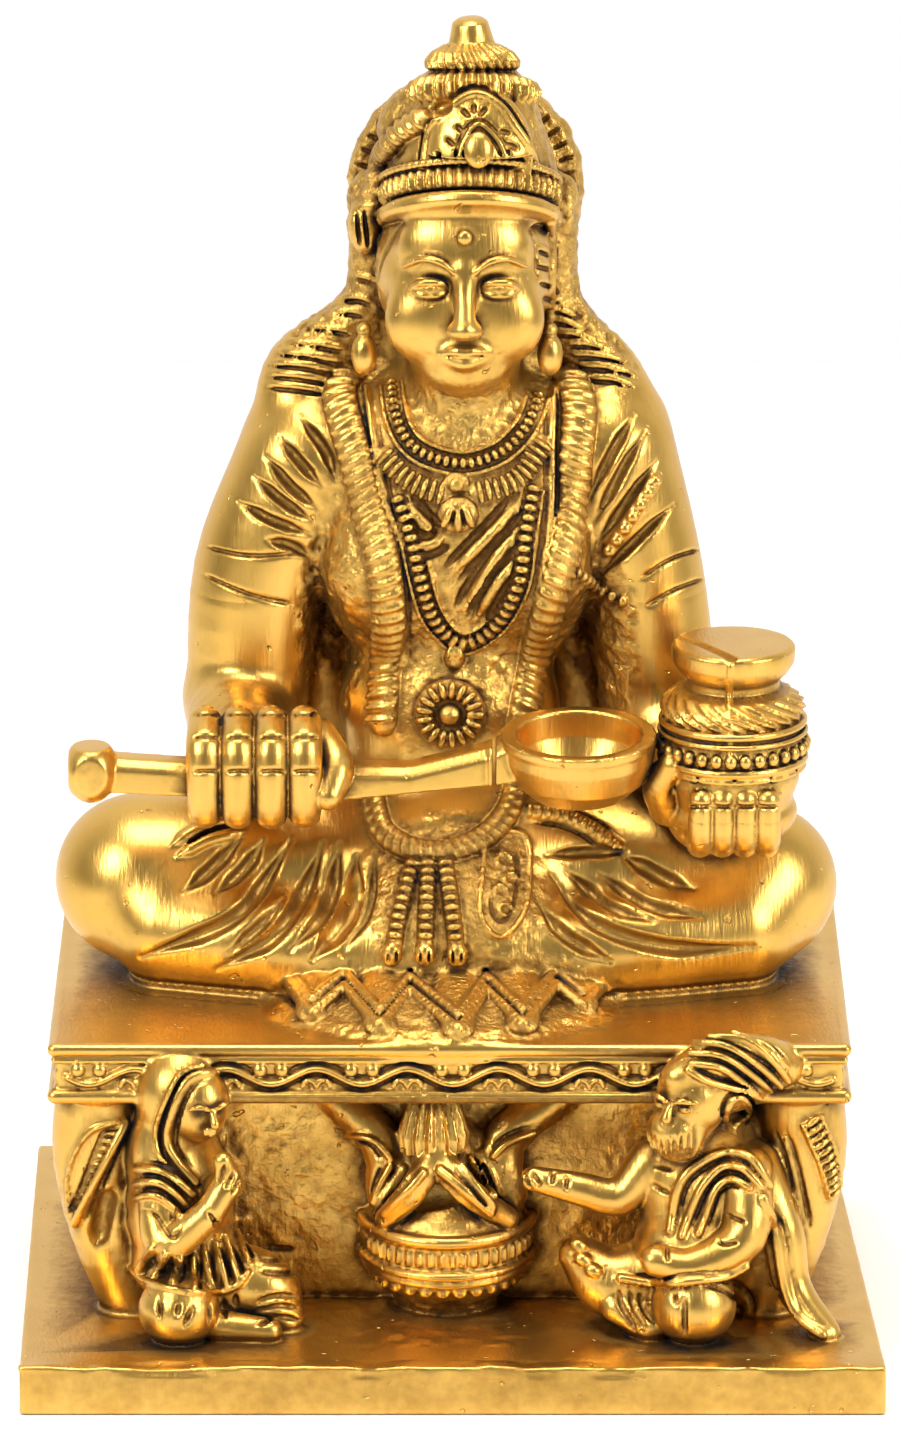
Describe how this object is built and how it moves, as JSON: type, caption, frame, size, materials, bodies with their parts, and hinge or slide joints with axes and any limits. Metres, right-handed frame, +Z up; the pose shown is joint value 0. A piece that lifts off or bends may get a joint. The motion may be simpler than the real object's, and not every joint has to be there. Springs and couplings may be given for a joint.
{
  "type": "annapurna statue",
  "caption": "Cast brass figure of a seated goddess holding a ladle and a pot, cross-legged on a carved throne with relief figures, on a flat slab.",
  "frame": {"origin": "middle of the slab's underside", "axes": "+Z up, the goddess faces -Y, +X to the right of a viewer in front of her"},
  "size_m": [0.1033, 0.08, 0.1578],
  "materials": {
    "brass": "cast, filed and polished on the high places, dark in the hollows"
  },
  "bodies": {
    "root": {"annapurna_statue": "brass"}
  },
  "joints": []
}
